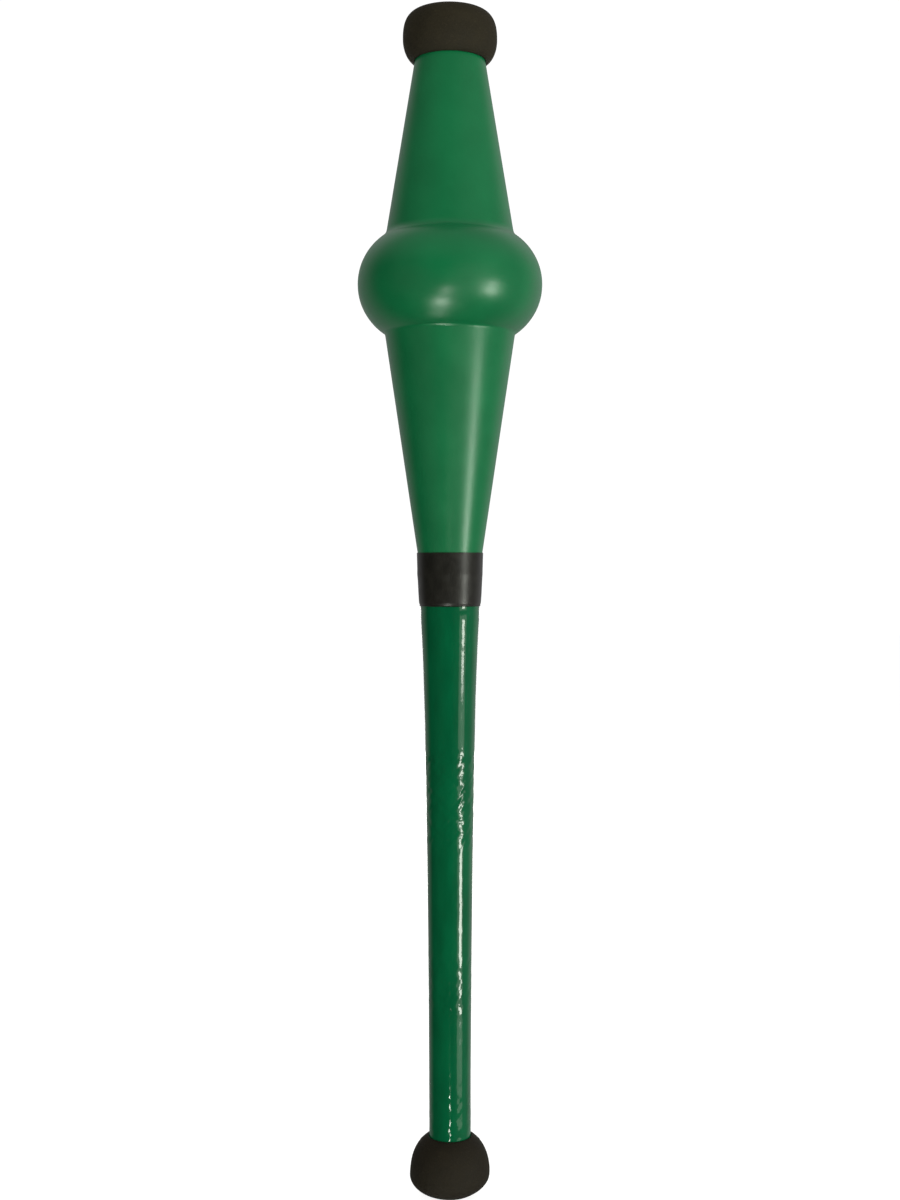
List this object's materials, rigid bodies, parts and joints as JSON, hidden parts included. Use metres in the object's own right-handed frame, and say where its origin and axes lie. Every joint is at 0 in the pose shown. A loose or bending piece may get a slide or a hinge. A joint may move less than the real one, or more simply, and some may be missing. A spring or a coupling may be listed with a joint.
{
  "type": "juggling club",
  "caption": "Juggling club with a bulged hollow body, foam crown and foam knob held by screws on a wooden core, and a long film-wrapped padded grip.",
  "frame": {"origin": "on the club's axis in the middle of the usual hold on the grip, 140 mm above the knob's foot", "axes": "+Z along the axis from the knob up to the crown; +X through the first neck tack, and the outside is round"},
  "size_m": [0.0814, 0.0814, 0.5208],
  "materials": {
    "core": "plain turned beech",
    "padding": "closed-cell foam",
    "film": "glossy creased film",
    "tail_tape": "masking tape",
    "bush": "moulded nylon",
    "tacks": "bright steel",
    "shell": "satin moulded polyethylene",
    "band": "stretched vinyl tape",
    "plug": "turned birch",
    "crown_foam": "matte foam rubber",
    "knob_foam": "matte foam rubber",
    "fastener": "zinc-plated steel"
  },
  "bodies": {
    "root": {"core_dowel": "core", "grip_padding": "padding", "grip_film": "film", "film_tail_tape": "tail_tape", "neck_bush": "bush", "neck_tacks": "tacks", "body_shell": "shell", "joint_band": "band", "crown_plug": "plug", "crown_foam": "crown_foam", "crown_washer": "fastener", "crown_screw": "fastener", "knob_foam": "knob_foam", "knob_washer": "fastener", "knob_screw": "fastener"}
  },
  "joints": []
}
